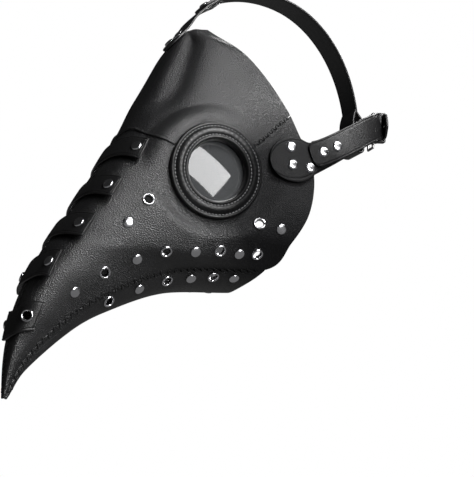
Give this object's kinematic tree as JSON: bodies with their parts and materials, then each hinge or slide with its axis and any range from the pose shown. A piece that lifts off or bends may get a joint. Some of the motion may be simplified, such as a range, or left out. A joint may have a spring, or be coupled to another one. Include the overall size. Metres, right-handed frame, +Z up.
{
  "type": "plague doctor mask",
  "caption": "Full-face costume mask with a long curved bird beak, round goggle eyes, riveted bridge straps and a buckled head harness; it straps over a wearer's face.",
  "frame": {"origin": "midway between the centres of the two lenses, where the wearer's eyes look out", "axes": "+Z up, +X to the wearer's left, -Y to the wearer's front, along the beak"},
  "size_m": [0.1724, 0.36, 0.4125],
  "materials": {
    "panel_leather": "fine grained black faux leather, satin",
    "ring_leather": "padded and stitched black faux leather, satin",
    "strap_leather": "smooth black faux leather, satin",
    "rivet_chrome": "polished",
    "buckle_nickel": "polished",
    "lens_smoked": "clear grey tinted acrylic, gloss",
    "retainer_plastic": "moulded, matte"
  },
  "bodies": {
    "mask": {"forehead_panel": "panel_leather", "side_panel_left": "panel_leather", "side_panel_right": "panel_leather", "beak_gusset": "panel_leather", "eye_ring_left": "ring_leather", "eye_ring_right": "ring_leather", "lens_left": "lens_smoked", "lens_right": "lens_smoked", "lens_retainer_left": "retainer_plastic", "lens_retainer_right": "retainer_plastic", "bridge_strap_1": "strap_leather", "bridge_strap_2": "strap_leather", "bridge_strap_3": "strap_leather", "bridge_strap_4": "strap_leather", "bridge_strap_5": "strap_leather", "bridge_strap_rivets": "rivet_chrome", "panel_rivets_left": "rivet_chrome", "panel_rivets_right": "rivet_chrome", "panel_eyelets_left": "rivet_chrome", "panel_eyelets_right": "rivet_chrome", "gusset_rivets": "rivet_chrome", "gusset_eyelets": "rivet_chrome", "side_tab_left": "strap_leather", "side_tab_right": "strap_leather", "side_tab_rivets_left": "rivet_chrome", "side_tab_rivets_right": "rivet_chrome", "crown_tab": "strap_leather", "crown_tab_rivets": "rivet_chrome", "crown_strap": "strap_leather", "crown_strap_rivets": "rivet_chrome", "back_strap_left": "strap_leather", "back_strap_right": "strap_leather", "back_strap_rivets_left": "rivet_chrome", "back_strap_rivets_right": "rivet_chrome"},
    "keeper": {"strap_keeper": "strap_leather"},
    "frame": {"buckle_frame": "buckle_nickel"},
    "prong": {"buckle_prong": "buckle_nickel"}
  },
  "joints": [
    {"name": "buckle_frame_hinge", "type": "hinge", "parent": "mask", "child": "frame", "pos_m": [0.03758, 0.18146, 0.079], "axis": [-0.2201, 0.1003, -0.9703], "range_deg": [0, 8]},
    {"name": "buckle_prong_hinge", "type": "hinge", "parent": "frame", "child": "prong", "pos_m": [0.03758, 0.18146, 0.079], "axis": [-0.2201, 0.1003, -0.9703], "range_deg": [0, 8]},
    {"name": "keeper_slide", "type": "slide", "parent": "mask", "child": "keeper", "axis": [-0.8829, 0.4024, 0.2419], "range_m": [-0.006, 0.007]}
  ]
}
